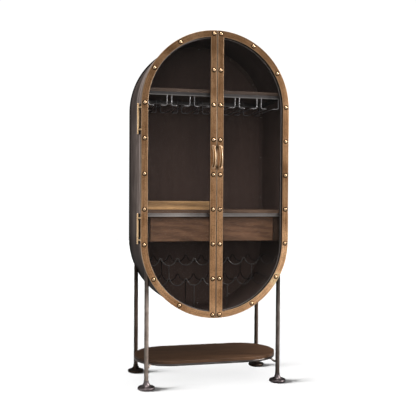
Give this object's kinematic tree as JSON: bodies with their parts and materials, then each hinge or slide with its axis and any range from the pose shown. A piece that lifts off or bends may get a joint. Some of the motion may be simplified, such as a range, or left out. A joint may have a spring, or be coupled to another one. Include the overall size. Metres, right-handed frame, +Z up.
{
  "type": "bar cabinet",
  "caption": "Stadium-shaped bar cabinet with riveted glass doors, hanging stemware wires, drawers, scalloped bottle rack and a lower shelf between slim round legs",
  "frame": {"origin": "on the floor, at the middle of the footprint between the handles' front and the rear feet's back", "axes": "+Z up; +X to the right as seen from the front; -Y towards the viewer, out of the doors"},
  "size_m": [0.9534, 0.572, 2.154],
  "materials": {
    "gunmetal": "antique gunmetal, brushed",
    "frame_steel": "dark blackened steel",
    "antique_brass": "aged and brushed",
    "bright_brass": "polished by use",
    "dark_wood": "dark stained",
    "back_board": "black-brown stain",
    "walnut": "oiled walnut",
    "board_wood": "oiled light wood",
    "shelf_wood": "brown stained wood",
    "shelf_steel": "mill finish",
    "wire_steel": "dark satin",
    "leg_steel": "worn gunmetal",
    "pane_glass": "clear",
    "felt": "matt",
    "screw_steel": "zinc plated"
  },
  "bodies": {
    "cabinet": {"back_panel": "back_board", "back_panel_screws": "screw_steel", "door_magnets": "screw_steel", "drawer_case": "walnut", "drawer_channels": "screw_steel", "feet": "leg_steel", "foot_pads": "felt", "front_legs": "leg_steel", "front_ring_bottom": "frame_steel", "front_ring_sides": "frame_steel", "front_ring_top": "frame_steel", "hinge_leaves": "bright_brass", "hinge_pins": "bright_brass", "hinge_screws": "bright_brass", "lower_shelf": "shelf_wood", "lower_shelf_brackets": "leg_steel", "lower_shelf_ring": "leg_steel", "main_shelf": "dark_wood", "rear_legs": "leg_steel", "rear_ring": "frame_steel", "serving_board": "board_wood", "shelf_cleats": "frame_steel", "shelf_rails": "shelf_steel", "shell_bottom_left": "gunmetal", "shell_bottom_right": "gunmetal", "shell_sides": "gunmetal", "shell_top_left": "gunmetal", "shell_top_right": "gunmetal", "stemware_rack_1": "wire_steel", "stemware_rack_2": "wire_steel", "stemware_rack_3": "wire_steel", "stemware_rack_4": "wire_steel", "stemware_rack_5": "wire_steel", "stemware_rack_6": "wire_steel", "upper_shelf": "dark_wood", "wine_rack_front_lower": "wire_steel", "wine_rack_front_upper": "wire_steel", "wine_rack_rear_lower": "wire_steel", "wine_rack_rear_upper": "wire_steel", "wine_rack_ties": "wire_steel"},
    "left_door": {"left_door_core": "frame_steel", "left_door_face": "antique_brass", "left_door_glass": "pane_glass", "left_glass_bead": "frame_steel", "left_door_rivets": "bright_brass", "left_handle": "bright_brass", "left_hinge_knuckles": "bright_brass"},
    "left_drawer": {"left_drawer_front": "walnut", "left_drawer_box": "dark_wood", "left_drawer_runners": "screw_steel"},
    "right_door": {"right_door_core": "frame_steel", "right_door_face": "antique_brass", "right_door_glass": "pane_glass", "right_glass_bead": "frame_steel", "right_door_rivets": "bright_brass", "right_handle": "bright_brass", "right_hinge_knuckles": "bright_brass"},
    "right_drawer": {"right_drawer_front": "walnut", "right_drawer_box": "dark_wood", "right_drawer_runners": "screw_steel"}
  },
  "joints": [
    {"name": "left_door_hinge", "type": "hinge", "parent": "cabinet", "child": "left_door", "pos_m": [-0.4707, -0.202, 1.289], "axis": [0, 0, -1], "range_deg": [0, 120]},
    {"name": "right_door_hinge", "type": "hinge", "parent": "cabinet", "child": "right_door", "pos_m": [0.4707, -0.202, 1.289], "axis": [0, 0, 1], "range_deg": [0, 120]},
    {"name": "left_drawer_slide", "type": "slide", "parent": "cabinet", "child": "left_drawer", "axis": [0, -1, 0], "range_m": [0, 0.25]},
    {"name": "right_drawer_slide", "type": "slide", "parent": "cabinet", "child": "right_drawer", "axis": [0, -1, 0], "range_m": [0, 0.25]}
  ],
  "couplings": [
    {"joint": "left_drawer_slide", "follows": "left_door_hinge", "m_per_rad": 0.1193},
    {"joint": "right_drawer_slide", "follows": "right_door_hinge", "m_per_rad": 0.1193}
  ]
}
